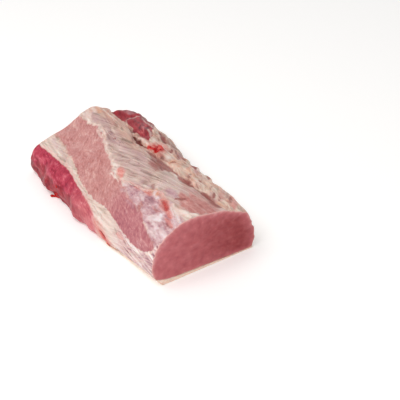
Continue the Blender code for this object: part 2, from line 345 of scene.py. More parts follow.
# Marks on the tissues: tapered strokes from one place to another, each as (along, angle, along, angle, half
# width, strength), in order of the first place. The strength of a lump or a dent is its height in mm.
MARKS = {
    "lump": (
        (-114, 24, -110, 27, 5.0, 2.2), (-98, 184, -76, 181, 8.0, 3.0), (-22, 184, -6, 184, 6.0, 1.8),
        (3, 122, 12, 125, 5.0, 1.1), (8, 36, 13, 33, 3.0, 1.6), (22, 60, 30, 62, 6.0, 1.0),
        (28, 41, 34, 38, 3.2, 2.4), (42, 31, 50, 29, 3.2, 2.4), (60, 36, 70, 36, 7.0, 1.4),
        (62, 32, 68, 30, 3.0, 1.6), (66, 114, 74, 117, 4.0, 0.8), (74, 38, 100, 38, 11.0, 2.8),
        (82, 31, 90, 29, 3.6, 2.6), (96, 34, 140, 34, 16.0, 3.4), (104, 12, 140, 12, 15.0, 2.4),
        (104, 34, 110, 31, 3.0, 1.6),
    ),
    "dent": (
        (-62, 184, -36, 184, 7.0, 1.8), (-42, 88, -32, 84, 4.0, 0.6), (-6, 186, 6, 184, 4.0, 1.2),
        (20, 78, 34, 86, 5.0, 0.8), (70, 36, 73, 38, 3.0, 1.0), (84, 118, 96, 121, 3.0, 0.8),
    ),
    # The gap strokes are painted shade in narrow gaps and along the crease, each also sunk into the
    # surface.
    "gap_painted_shade": (
        (-114, 50, -80, 55.5, 1.8, 0.7), (-76, 56, -60, 59, 1.4, 0.75), (-52, 64.5, -42, 68, 3.0, 1.0),
        (-46, 67.8, -30, 70.6, 3.6, 1.0), (-31, 70, -17, 69.5, 1.1, 0.6),
        (-8.5, 63.5, -5.5, 66.5, 1.6, 0.9), (24, 37, 28, 41, 2.0, 0.5),
        (35, 175.6, 43, 178.6, 1.7, 0.75),
    ),
    # Maroon strokes are red-brown stains, but those that run along the crease, at about 70 to 75 degrees,
    # are painted shade in the groove.
    "maroon": (
        (-124, 44, -112, 56, 3.0, 0.45), (-118, 45, -100, 47.5, 1.4, 0.5),
        (-118, 70, -106, 62, 2.0, 0.3), (-90, 136.5, -87, 136, 2.0, 0.55),
        (-60, 28, -32, 37, 4.0, 1.0), (-56, 93, -54, 93, 1.2, 0.5), (-51, 96, -48, 96, 1.6, 0.8),
        (-47, 71.5, -28, 84, 2.2, 0.5), (-40, 30, -24, 35, 3.0, 0.6), (-38, 71, -28, 80, 2.6, 0.5),
        (-32, 28, -18, 38, 2.0, 0.45), (-18, 33, -4, 40, 2.2, 0.6), (-12, 40, -4, 48, 2.4, 0.8),
        (-12, 67, -4, 66, 1.4, 0.5), (-12, 72.8, 4, 73.0, 2.6, 0.8), (0, 40, 12, 48, 2.6, 0.6),
        (2, 72.5, 22, 73.5, 1.9, 0.7), (8, 74.5, 36, 78, 4.6, 0.7), (12, 82, 32, 92, 10.0, 0.62),
        (19, 119.5, 31, 115, 1.2, 0.6), (20, 73, 36, 73.5, 3.0, 0.65), (20.5, 64, 23, 60, 1.0, 0.7),
        (21, 34, 31, 43, 3.4, 0.9), (22, 79, 35, 86.5, 2.6, 0.75), (22.5, 67, 21, 60, 2.0, 0.6),
        (26, 38, 36, 43, 3.2, 0.95), (30, 125.5, 40, 124, 1.1, 0.6), (34, 34, 44, 40, 1.6, 0.6),
        (34, 72.2, 52, 72.6, 1.5, 0.85), (41, 27, 51, 33, 3.0, 0.75), (44, 28, 53, 36, 3.0, 0.75),
        (46, 45, 54, 53, 4.5, 0.35), (46, 56, 56, 66, 2.4, 0.6), (50, 73.5, 72, 75, 5.6, 0.95),
        (55, 110, 60, 115, 2.8, 0.5), (60, 36, 70, 42, 1.4, 0.5), (60, 52, 66, 58, 1.4, 0.6),
        (66, 130, 73, 136, 3.0, 0.3), (70, 67, 79, 68.5, 1.8, 0.55), (72, 73.5, 86, 69.5, 1.4, 0.6),
        (74, 48, 84, 58, 1.6, 0.6), (74.5, 166, 79, 167, 2.2, 0.6), (80, 27, 92, 33, 3.2, 0.75),
        (80, 73, 86, 73, 2.2, 0.7), (83, 126, 88, 127, 2.4, 0.45), (84, 117, 98, 120.5, 4.2, 0.6),
        (86, 36, 100, 48, 2.0, 0.5), (86, 70.5, 116, 71.5, 6.0, 0.9), (90, 56, 98, 64, 2.4, 0.8),
        (90, 106, 94, 99, 3.2, 0.85), (94, 52, 104, 62, 1.6, 0.6), (96, 40, 106, 48, 3.0, 0.8),
        (101, 42, 109, 50, 3.6, 0.6), (106, 131, 122, 129, 1.4, 0.5), (112, 36, 119, 44, 1.0, 0.4),
    ),
    "blood": (
        (-74, 189, -62, 184, 2.2, 0.8), (-72, 183, -60, 179, 1.6, 0.6),
        (-21, 67.5, -8, 65.5, 3.4, 0.8), (-19, 60, -14, 64, 4.0, 0.6), (-17, 54, -8, 60, 5.4, 0.8),
        (-13, 60, -6, 66, 5.2, 1.0), (33, 175.5, 46, 182, 3.2, 0.45), (42, 181, 47, 186, 2.4, 0.5),
        (85, 117.2, 98, 120.8, 3.4, 0.5),
    ),
    "salmon": (
        (-47, 59, -26, 61, 2.4, 0.4), (-25, 56, -19, 68, 4.0, 0.7), (-24, 46, -6, 60, 9.0, 0.75),
        (-4, 62, 4, 67.5, 3.4, 0.45), (2, 120.8, 13, 126, 5.2, 1.0), (24, 172, 48, 182, 9.0, 0.95),
        (34, 178, 54, 187, 5.0, 0.6), (38, 57, 32, 43, 2.2, 0.5), (40, 124.5, 50, 123, 2.0, 0.5),
        (54, 121, 66, 120, 2.6, 0.75), (60, 167, 72, 164.5, 3.0, 0.6), (82, 117, 101, 121, 5.6, 0.9),
        (82, 128, 92, 127, 1.5, 0.4), (92, 32, 116, 52, 6.5, 0.75), (94, 119, 112, 124, 3.4, 0.9),
        (106, 127, 122, 128.8, 2.2, 0.7),
    ),
    "amber": (
        (-124, 84, -116, 88, 2.6, 0.5), (-122, 74, -110, 78, 5.0, 0.8), (-114, 66, -88, 70, 5.0, 0.35),
        (-110, 66, -98, 72, 4.0, 0.5), (-104, 52, -92, 57, 3.0, 0.4), (-22, 48, -18, 56, 3.0, 0.5),
        (-2, 40, 12, 52, 4.0, 0.6), (4, 36, 24, 54, 5.0, 0.3), (14, 80, 22, 83, 4.0, 0.5),
        (20, 65, 26, 57, 2.4, 1.0), (22, 67, 16, 49, 3.4, 0.75), (24, 56, 32, 62, 4.6, 0.5),
        (34, 50, 46, 62, 4.0, 0.5), (43, 52, 47, 58, 1.8, 0.4), (46, 52, 60, 64, 4.6, 0.5),
        (55, 121.5, 61, 121, 2.0, 0.5), (60, 38, 80, 58, 7.0, 0.35), (60, 117, 72, 116, 4.0, 0.8),
        (63, 112.5, 72, 116, 3.0, 0.7), (64, 44, 78, 56, 4.0, 0.5), (72, 114, 92, 114.5, 2.4, 0.45),
        (78, 50, 86, 58, 2.4, 0.35), (96, 38, 108, 46, 3.0, 0.5), (98, 113, 118, 114, 4.0, 0.4),
        (106, 63, 120, 67, 2.6, 0.5),
    ),
    "lean": (
        (-120, 50, -104, 66, 3.4, 0.3), (-98, 60, -82, 72, 2.6, 0.3), (-78, 60, -60, 72, 2.4, 0.3),
        (-62, 62, -48, 72, 2.4, 0.3), (-48, 56, -30, 59, 2.6, 0.5), (-26, 30, -8, 42, 2.2, 0.3),
        (-22, 72, -6, 84, 2.6, 0.3), (-2, 74, 12, 84, 2.6, 0.4), (3, 121.8, 12, 127, 3.4, 0.95),
        (12, 80, 24, 84, 5.0, 0.7), (14, 84, 30, 93, 7.0, 0.6), (16, 77, 34, 85, 5.0, 0.5),
        (32, 125.5, 50, 122, 1.5, 0.6), (36, 178, 44, 176, 4, 0.4), (52, 40, 74, 66, 5.0, 0.35),
        (52, 78, 70, 83, 2.2, 0.35), (60, 166.5, 74, 165, 2.2, 0.5), (65, 132, 73, 137, 3.6, 0.8),
        (70, 84, 96, 88, 7.0, 0.5), (76, 168, 79, 166, 2.2, 0.5), (82, 79, 112, 81, 6.0, 0.65),
        (84, 40, 104, 60, 6.0, 0.6), (84, 162, 112, 161, 2.2, 0.5), (88, 98, 122, 98, 8.0, 1.0),
        (92, 89, 126, 88, 10.0, 0.95), (94, 104, 118, 105, 5.4, 1.0), (102, 36, 120, 54, 3.0, 0.8),
        (104, 76, 122, 78, 5.0, 0.7), (118, 84, 126, 90, 7.0, 1.0),
    ),
    "mauve": (
        (-126, 26, -112, 34, 4.0, 0.4), (-118, 90, -98, 92, 6.0, 0.45),
        (-118, 149, -100, 152, 3.0, 0.4), (-98, 150, -72, 154, 1.6, 0.3), (-90, 86, -74, 92, 6.0, 0.3),
        (-60, 94, -40, 100, 4.0, 0.3), (-40, 98, -20, 96, 2.6, 0.3), (-12, 94, 8, 92, 3.0, 0.3),
        (-8, 31, 10, 46, 6.5, 0.6), (8, 52, 14, 60, 2.0, 0.3), (14, 104, 26, 97, 2.6, 0.35),
        (26, 136, 44, 132, 2.6, 0.5), (28, 130, 44, 131, 1.8, 0.5), (36, 40, 43, 48, 3.0, 0.6),
        (44, 133, 56, 134.5, 2.0, 0.6), (46, 139, 62, 139, 1.8, 0.5), (52, 116, 60, 112, 3.2, 0.5),
        (66, 122, 79, 125.5, 2.6, 0.8), (72, 104, 86, 105, 6.0, 0.9), (76, 131, 90, 128, 3.0, 0.5),
        (84, 138.5, 92, 141, 2.2, 0.6), (85, 113, 106, 113, 2.0, 0.55), (90, 62, 104, 66, 4.0, 0.4),
        (100, 127, 112, 132, 1.6, 0.5), (100, 169, 108, 163, 3.0, 0.6), (110, 175, 120, 166, 3.0, 0.5),
    ),
    # White strokes are fat and pale tissue, but those over the membrane by the fresh cut are painted
    # highlights on the wet membrane.
    "white": (
        (-126, 80, -112, 84, 4.0, 0.7), (-126, 88, -104, 96, 5.0, 0.7), (-118, 67, -86, 71, 3.4, 0.65),
        (-104, 27, -96, 45, 1.4, 0.55), (-102, 26, -70, 31, 1.7, 0.55), (-96, 45, -84, 52, 1.2, 0.45),
        (-84, 24, -60, 33, 1.4, 0.6), (-84, 101, -64, 106, 2.6, 0.6), (-66, 98, -56, 108, 3.0, 0.5),
        (-64, 40, -42, 48, 2.4, 0.6), (-52, 110, -30, 117, 3.0, 0.6), (-46, 62, -24, 65, 3.0, 0.85),
        (-40, 46, -24, 58, 3.2, 0.6), (-32, 74, -20, 84, 2.6, 0.5), (-30, 118, -6, 121, 3.4, 0.55),
        (-28, 34, -14, 44, 1.8, 0.5), (-6, 118, 0, 124, 3.4, 0.4), (-3, 130.6, 14, 131.8, 1.6, 0.8),
        (0, 163, 46, 162, 3.4, 0.6), (4, 56, 14, 66, 4.0, 0.55), (15, 121, 22, 127, 3.0, 0.5),
        (20, 124, 32, 126.5, 2.4, 0.5), (24, 29, 38, 42, 2.8, 1.0), (28, 166, 52, 168.5, 3.4, 0.85),
        (30, 120, 56, 117, 2.4, 0.5), (30, 133, 46, 136, 2.4, 0.4), (40, 32, 46, 44, 2.2, 0.5),
        (44, 76, 58, 84, 4.0, 0.5), (46, 128, 60, 131, 1.6, 0.5), (52, 38, 72, 52, 3.4, 0.35),
        (56, 56, 74, 66, 3.4, 0.4), (56, 126, 66, 128.5, 2.6, 0.7), (62, 133, 80, 135, 1.6, 0.4),
        (64, 119, 76, 119.5, 2.6, 0.5), (65, 113.5, 70, 118, 2.6, 0.8), (72, 74, 79, 75, 2.6, 0.75),
        (74, 118, 124, 121.0, 1.5, 0.7), (84, 34, 98, 46, 1.8, 0.4), (88, 142, 114, 143.5, 3.0, 0.7),
        (90, 135.5, 101, 131.5, 5.6, 1.0), (96, 113.5, 112, 117, 3.4, 0.7),
        (98, 128, 103, 131, 3.2, 0.8), (99, 117, 123, 121, 2.4, 1.0), (100, 137.5, 110, 137, 3.0, 0.8),
        (100, 141, 112, 141.5, 3.0, 0.6), (108, 114, 122, 111, 4.2, 0.9),
        (112, 135, 126, 138.5, 4.2, 0.8), (112, 161, 123, 152, 1.8, 0.9),
        (118, 108, 126, 104, 2.6, 0.9),
    ),
    # Brown strokes are grey-brown spots, but the long strokes low on the right flank, at 16 to 31 degrees
    # from -112 to 16 along, are painted shade along its edge.
    "brown": (
        (-119, 145, -112, 146, 1.8, 0.5), (-116, 15, -100, 25, 2.0, 0.5),
        (-112, 16, -60, 22, 4.0, 0.5), (-112, 86, -104, 84, 1.8, 0.5), (-96, 23, -60, 29, 1.3, 0.55),
        (-84, 156, -72, 154.5, 1.2, 0.6), (-81, 73, -75, 77, 1.8, 0.4), (-76, 76, -66, 84, 3.0, 0.35),
        (-66, 75.5, -58, 79, 1.8, 0.6), (-60, 24, 16, 31, 4.5, 0.5), (-60, 32, -52, 37, 1.8, 0.45),
        (-60, 34, -50, 38, 1.6, 0.6), (-46, 108, -30, 104, 1.2, 0.35), (-41, 90, -35, 87.5, 3.4, 0.85),
        (-37, 86, -30, 84, 3.0, 0.8), (-13, 74.5, -3, 75.0, 2.2, 0.7), (0, 102, 20, 98, 1.2, 0.3),
        (2, 109, 18, 106, 1.6, 0.5), (18, 40, 34, 55, 6.0, 0.35), (24, 107, 40, 104, 2.0, 0.55),
        (44, 100, 60, 96, 1.4, 0.3), (54, 164, 60, 166, 1.8, 0.5), (56, 112, 60, 116, 3.0, 0.4),
        (60, 30, 84, 33, 4.0, 0.35), (62, 109, 67, 108, 1.6, 0.5), (80, 46, 90, 58, 4.0, 0.3),
        (98, 112, 104, 112.5, 1.8, 0.5),
    ),
}


def marked(strokes):
    """How much of a mark lies at each point, from 0 to 1, its strokes bent and torn a little."""
    ragged = 0.22 * mottle(5, 3, 3) + 0.12 * mottle(2.4, 1.8, 4)
    bend_along = 1.3 * mottle(9, 7, 5)
    bend_round = 1.0 * mottle(8, 7, 6)
    total = np.zeros(X.shape)
    for first_x, first_angle, last_x, last_angle, half_width, strength in strokes:
        off_along = X + bend_along - first_x
        off_round = np.radians(angle - first_angle) * radius + bend_round
        run_along = last_x - first_x
        run_round = np.radians(last_angle - first_angle) * radius
        share = (off_along * run_along + off_round * run_round) / (run_along**2 + run_round**2 + 0.01)
        share = np.clip(share, 0, 1)
        taper = half_width * (0.6 + 0.4 * np.sin(math.pi * share))
        away = np.hypot(off_along - share * run_along, off_round - share * run_round) / taper
        total = np.maximum(total, strength * smooth_step(1.45, 0.15, away + ragged))
    return total


# How far each point lies past each border, torn and scalloped: in mm, and for the end muscle in degrees.
torn = 1.8 * mottle(9, 9, 11) + 1.2 * mottle(3.4, 3.4, 12)
scallops = 1.7 * (np.abs(np.mod(X / 10.0 + 0.4 * drift(26, 13), 1) - 0.5) * 2 - 0.5)
past_eye_top = beyond(EYE_TOP) + torn * 1.1 + scallops * smooth_step(40, 10, X)
past_seam_top = beyond(SEAM_TOP) + torn * 0.8
past_muscle_top = beyond(MUSCLE_TOP) + torn * 0.3
past_crease = beyond(CREASE) + 0.7 * drift(14, 14)
past_ridge = beyond(RIDGE) + 1.2 * mottle(9, 6, 33)
past_end_top = angle - through(END_TOP, X) + 2.2 * mottle(16, 8, 18)
past_end_low = through(END_LOW, X) - angle + 3.0 * mottle(14, 6, 17)

# The share of each tissue.
near_end = smooth_step(5, 60, X + 6.0 * mottle(12, 12, 15))
eye_fade = 0.9 + 3.6 * smooth_step(-5, 40, X)
seam_fade = 2.4 + 3.4 * smooth_step(-50, -95, X)
eye = smooth_step(-eye_fade, eye_fade, past_eye_top) * smooth_step(seam_fade, -seam_fade, past_seam_top)
muscle_end = smooth_step(48, 6, X + 6 * mottle(10, 4, 16))
muscle_fade = 1.0 + 3.4 * smooth_step(-25, 15, X)
muscle = smooth_step(-1.8 * muscle_fade, muscle_fade, past_muscle_top) * muscle_end
flank_low = smooth_step(167, 176, angle + 5 * mottle(12, 7, 20))
seam = smooth_step(-seam_fade, 1.2 + 7.0 * smooth_step(-45, -90, X), past_seam_top) * (1 - muscle)
strands = seam * smooth_step(46, 72, X)
silverskin = smooth_step(-0.6, 1.2, past_crease) * smooth_step(0.8, -0.8, past_eye_top)
membrane = silverskin * smooth_step(16, 40, X) * smooth_step(-3.0, 2.0, past_ridge)
ridge = band(past_ridge, 1.8) * smooth_step(10, 26, X) * smooth_step(126, 118, X)
warm = silverskin * smooth_step(92, 78, angle - 0.12 * (X + 60)) * smooth_step(16, -30, X)
strip = smooth_step(0.6, -1.0, past_crease)
end_muscle = strip * smooth_step(1.5, -1.5, past_end_top) * smooth_step(1.5, -1.5, past_end_low)

# The share of each mark. Some follow a border: maroon the crease, as painted shade in the groove, white fat
# the top of the eye, and a pale rim the top of the side muscle and of the ridge.
marks = {name: marked(strokes) for name, strokes in MARKS.items()}
crease_shade = band(past_crease - 1.3, 2.2) * (0.6 + 0.3 * drift(14, 52))
crease_shade *= smooth_step(-24, -8, X) * smooth_step(124, 112, X)
marks["maroon"] = np.maximum(marks["maroon"], crease_shade)
pale_edge = band(past_eye_top + 3.0, 3.4) * (0.7 + 0.7 * mottle(9, 7, 19)) * (1 - near_end)
marks["white"] = np.clip(np.maximum(marks["white"], pale_edge * 0.9), 0, 1) * (1 - muscle)
muscle_edge = band(past_muscle_top + 1.6, 1.1) * (0.6 + 0.5 * drift(7, 34))
ridge_edge = 0.8 * band(past_ridge + 0.5, 1.2) * smooth_step(10, 20, X) * smooth_step(84, 76, X)
marks["rim"] = np.clip(muscle_edge * smooth_step(48, 20, X) + ridge_edge, 0, 1)

# The tone of each tissue: below 0 its darker streaks, above 0 its paler ones.
skin_threads = X, girth - through(SKIN_THREADS, X)
eye_tone = 0.6 * streaks(turned(33), 8, 3.0, 22) + 0.5 * mottle(20, 12, 21)
eye_tone += 0.7 * smooth_step(0.42, 0.7, mottle(3.0, 1.6, 23, degrees=34))
skin_tone = streaks(skin_threads, 26, 2.4, 24) * np.clip(0.75 + 0.9 * mottle(20, 9, 57), 0.2, 1.3)
skin_tone += 0.45 * mottle(18, 10, 26) - 0.25 * smooth_step(-40, -60, X) * smooth_step(-110, -90, X)
skin_folds = smooth_step(0.8, 1, creases(X / 24, skin_threads[1] / 6, 25))
skin_tone -= 0.9 * skin_folds * smooth_step(-0.1, 0.3, mottle(15, 12, 27))
skin_tone *= 1 - 0.4 * smooth_step(50, 90, X) - 0.5 * smooth_step(-70, -105, X)
warm_tone = 1.0 * streaks(turned(8), 28, 4.6, 49) + 0.3 * mottle(14, 10, 26)
skin_tone += (warm_tone - skin_tone) * warm + 0.35 * smooth_step(10, 50, X)
muscle_tone = 0.7 * streaks(turned(14), 9, 3.4, 29) + 0.6 * mottle(13, 8, 30)
# Short pale glints along the muscle's length, as painted highlights.
muscle_tone += 0.7 * smooth_step(0.5, 0.7, mottle(4, 1.8, 28))
seam_tone = 0.85 * streaks((X, girth - 0.05 * X), 34, 3.0, 31) + 0.4 * smooth_step(-10, 15, X)
seam_folds = smooth_step(0.82, 1, creases(X / 34, girth / 6, 32))
seam_tone -= 0.9 * seam_folds * smooth_step(-0.2, 0.3, mottle(20, 9, 40))
strand_threads = X, girth - through(STRAND_THREADS, X)
strand_tone = 1.35 * streaks(strand_threads, 34, 2.4, 34) + 0.1
strand_tone -= 0.9 * smooth_step(0.8, 1, creases(X / 40, strand_threads[1] / 7, 34))
blotch_tone = 0.6 * streaks(turned(-4), 14, 4.5, 35) + 0.6 * mottle(12, 8, 36)
blotch_tone -= 0.35 * smooth_step(90, 50, X)
strip_folds = streaks(turned(-4), 36, 9.0, 37)
strip_ledges = streaks(turned(24), 24, 9.0, 55)
strip_tone = 0.6 * strip_folds + 0.5 * strip_ledges + 0.5 * streaks(turned(8), 20, 4.6, 38)
strip_tone = strip_tone * (1 - 0.4 * smooth_step(10, 50, X)) + 0.3 * smooth_step(0, 50, X)
end_tone = 0.95 * streaks(turned(32), 18, 3.4, 39) + 0.4 * mottle(9, 9, 56) - 0.1

tone = strip * strip_tone * (1 - end_muscle) + end_muscle * end_tone
tone += silverskin * (skin_tone * (1 - membrane) + membrane * blotch_tone)
tone += eye * eye_tone + muscle * muscle_tone
tone += seam * (seam_tone * (1 - strands) + strands * strand_tone)
tone = np.clip(tone, -1.6, 1.6)

# How far the surface stands out or sinks, in mm: lumps, threads and folds, torn edges and the open crease.
under = smooth_step(LEFT_FOOT - 1, LEFT_FOOT + 3, angle)
crinkles = mottle(5, 3, 41) + 0.6 * mottle(2.6, 2.0, 42)
height = 0.5 * mottle(11, 11, 43)
height += eye * 0.22 * eye_tone
height += silverskin * (0.6 + 0.28 * skin_tone)
height += membrane * (0.2 * crinkles + 0.3 * blotch_tone)
height += seam * (0.4 + 0.25 * seam_tone + 0.25 * crinkles) + strands * 0.3 * strand_tone
height += muscle * (0.45 * muscle_tone + 1.1 * mottle(13, 9, 44))
height -= 0.8 * band(past_muscle_top, 1.6) * smooth_step(30, -10, X)
height += 0.9 * ridge
strip_height = (1 - end_muscle) * (0.6 * strip_folds + 0.5 * strip_ledges)
height += strip * (1.2 * mottle(15, 11, 45) + strip_height)
height += end_muscle * 0.15 * end_tone
height += marks["white"] * 0.6 - marks["brown"] * 0.4 - marks["lean"] * 0.4 - marks["maroon"] * 0.9
height -= 1.2 * band(past_crease, 1.6) * smooth_step(135, 60, X)
height -= 1.6 * marks["gap_painted_shade"]
height += marks["lump"] - marks["dent"]
height = soften(soften(height, 0.9, 0, False), 0.9, 1, True)
height *= smooth_step(-2.0, 3.0, Z) * (1 - under)

# The surface itself: every point of the rings moved straight outwards by its height.
across_step = np.roll(section, -1, axis=1) - np.roll(section, 1, axis=1)
across_step /= np.linalg.norm(across_step, axis=2)[..., None]
outward = np.stack([across_step[..., 1], -across_step[..., 0]], -1)
raised = section + outward * height[..., None]
raised[..., 1] = np.maximum(raised[..., 1], TABLE_GAP)

# ---------------------------------------------------------------------------------------------------------
# The skin of the meat and its two cut faces, one closed piece. At each end the last ring turns over a small
# edge and is drawn in to the middle of the cut, which is flat but for the faint bulge of its bundles of
# muscle. The same muscles and seams run through to the far cut.

CAP_RINGS = 22
EDGE_ROUNDING = 0.9
CUT_MIDDLE = np.array([-8.0, 30.0])
FAR_MIDDLE = np.array([2.0, 24.0])
FLAT_UNIT = 100.0


def cut_mottle(place, size, seed):
    """The random field over a cut face, in patches of about one size."""
    return grain(place[..., -2] / size, place[..., -1] / size, seed)


def cut_face(rim, x, outwards, middle, seed):
    """Rings from a rim to the middle of a cut face, the first ones round its edge."""
    inward = middle - rim
    step = inward / np.linalg.norm(inward, axis=1)[:, None]
    rings = []
    for turn in (30, 60, 90):
        inset = EDGE_ROUNDING * (1 - math.cos(math.radians(turn)))
        sink = EDGE_ROUNDING * (1 - math.sin(math.radians(turn)))
        rings.append(np.column_stack([np.full(len(rim), x - outwards * sink), rim + step * inset]))
    flat = rings[2][:, 1:]
    for share in np.linspace(0, 1, CAP_RINGS)[1:] ** 1.3:
        place = flat + (middle - flat) * share
        bulge = 0.35 + 0.5 * cut_mottle(place, 9, seed) + 0.25 * cut_mottle(place, 3.5, seed + 1)
        depth = x - outwards * np.clip(bulge, 0, 1.2) * smooth_step(0, 0.12, share)
        rings.append(np.column_stack([depth, place]))
    return np.array(rings)


side = np.concatenate([X[..., None] * (1 - EDGE_ROUNDING / HALF_LENGTH), raised], -1)
near_cut = cut_face(raised[-1], HALF_LENGTH, 1, CUT_MIDDLE, 61)
far_cut = cut_face(raised[0], -HALF_LENGTH, -1, FAR_MIDDLE, 63)[::-1]
rings = np.concatenate([far_cut, side, near_cut])


def oval(place, middle, half_width, half_height):
    """How far points of a cut face lie outside the uneven oval of a muscle, in mm."""
    across = (place[..., 1] - middle[0]) / half_width
    up = (place[..., 2] - middle[1]) / half_height
    return (np.hypot(across, up) - 1) * min(half_width, half_height) + 1.3 * cut_mottle(place, 8, 65)


def along_rim(field, at_far=0.0, at_near=0.0):
    """A field of the side with values added for the cut faces."""
    far = np.broadcast_to(at_far, far_cut.shape[:2])
    near = np.broadcast_to(at_near, near_cut.shape[:2])
    return np.concatenate([far, field, near])


far_muscle = oval(far_cut, middle=(-74, 12), half_width=24, half_height=24)
far_end_muscle = oval(far_cut, middle=(56, 20), half_width=24, half_height=17)
far_muscle_share = smooth_step(0.7, -0.7, far_muscle)
far_end_share = smooth_step(0.7, -0.7, far_end_muscle)
far_seam = band(far_muscle - 1.8, 2.0) + band(far_end_muscle - 1.8, 2.0)
from_far_rim = np.linalg.norm(far_cut - far_cut[-1], axis=-1)
from_near_rim = np.linalg.norm(near_cut - near_cut[0], axis=-1)
far_tone = 0.8 * cut_mottle(far_cut, 6, 66)
# Painted shade on the near cut face, darker towards the right and less so near its rim. Its tone is painted
# lighter towards the left, and paler near its upper rim.
near_cut_shade = smooth_step(-50, 50, near_cut[..., 1]) * (1 - 0.8 * band(from_near_rim, 9))
near_tone = 0.8 * cut_mottle(near_cut, 7, 67) + 0.5 * cut_mottle(near_cut, 3, 68)
near_tone += 1.4 * np.exp(-from_near_rim / 6) * smooth_step(20, 40, near_cut[..., 2])
near_tone += 0.5 * smooth_step(-40, -68, near_cut[..., 1])

fields = {
    "tone": along_rim(tone, far_tone, near_tone),
    "silverskin": along_rim(silverskin),
    "warm": along_rim(warm),
    "membrane": along_rim(membrane),
    "eye": along_rim(eye),
    "near_end": along_rim(near_end),
    "seam": along_rim(seam, np.clip(1.6 * far_seam, 0, 1)),
    "strands": along_rim(strands),
    "muscle": along_rim(muscle, far_muscle_share),
    "muscle_full": along_rim(smooth_step(20, -40, X)),
    "flank_low": along_rim(flank_low, 1.0),
    "end_muscle": along_rim(end_muscle, far_end_share),
    "cut": along_rim(0 * eye, 1.0, 1.0),
    # The share of the cut faces' darker copy, as painted shade: a fixed share over the far cut, and the
    # near cut's painted shade.
    "cut_painted_shade": along_rim(0 * eye, 0.3, near_cut_shade),
    "cut_rim": along_rim(0 * eye, np.exp(-from_far_rim / 1.0), np.exp(-from_near_rim / 1.1)),
}
for name in ("lean", "mauve", "amber", "white", "brown", "maroon", "salmon", "gap_painted_shade", "blood", "rim"):
    fields[name] = along_rim(marks[name])


def closed_skin(name, rings, fields, around_mm):
    """A sheet rolled up into a closed piece of rings of points, in mm, with each field at every point."""
    rows, columns = rings.shape[0], rings.shape[1] + 1
    sheet = bmesh.new()
    bmesh.ops.create_grid(sheet, x_segments=columns - 1, y_segments=rows - 1, size=1.0)
    skin = finished(sheet, name)
    mesh = skin.data
    flat = np.zeros(rows * columns * 3)
    mesh.vertices.foreach_get("co", flat)
    flat = flat.reshape(-1, 3)
    column = np.rint((flat[:, 0] + 1) / 2 * (columns - 1)).astype(int)
    row = np.rint((flat[:, 1] + 1) / 2 * (rows - 1)).astype(int)
    wrapped = np.concatenate([rings, rings[:, :1]], axis=1)
    mesh.vertices.foreach_set("co", (wrapped[row, column] * MM).ravel())
    for label, field in fields.items():
        field = np.concatenate([field, field[:, :1]], axis=1)
        layer = mesh.attributes.new(label, "FLOAT", "POINT")
        layer.data.foreach_set("value", field[row, column].astype(np.float32))
    corner = np.zeros(len(mesh.loops), np.int32)
    mesh.loops.foreach_get("vertex_index", corner)
    laid_flat = np.stack([wrapped[..., 0], around_mm], -1) / FLAT_UNIT
    mesh.uv_layers.new(name="laid_flat").uv.foreach_set(
        "vector", laid_flat[row[corner], column[corner]].astype(np.float32).ravel()
    )
    work = bmesh.new()
    work.from_mesh(mesh)
    bmesh.ops.remove_doubles(work, verts=work.verts, dist=1e-6)
    bmesh.ops.recalc_face_normals(work, faces=work.faces)
    work.to_mesh(mesh)
    work.free()
    mesh.shade_smooth()
    return skin


around_mm = np.column_stack([girth, girth[:, 0] + full_girth])
around_mm = np.concatenate(
    [np.repeat(around_mm[:1], len(far_cut), 0), around_mm, np.repeat(around_mm[-1:], len(near_cut), 0)]
)
loin = closed_skin("loin", rings, fields, around_mm)

# ---------------------------------------------------------------------------------------------------------
# The look of the meat. Each tissue is laid over the ones before it, from the fascia of the rib strip up to
# the stains, the painted shade and highlights, and the blood. Its colour is read off a ramp by its tone and
# a fine noise along its fibres, and all of it is moist and lets a little light in.

RAMP_PLACES = (0.15, 0.35, 0.5, 0.65, 0.85)
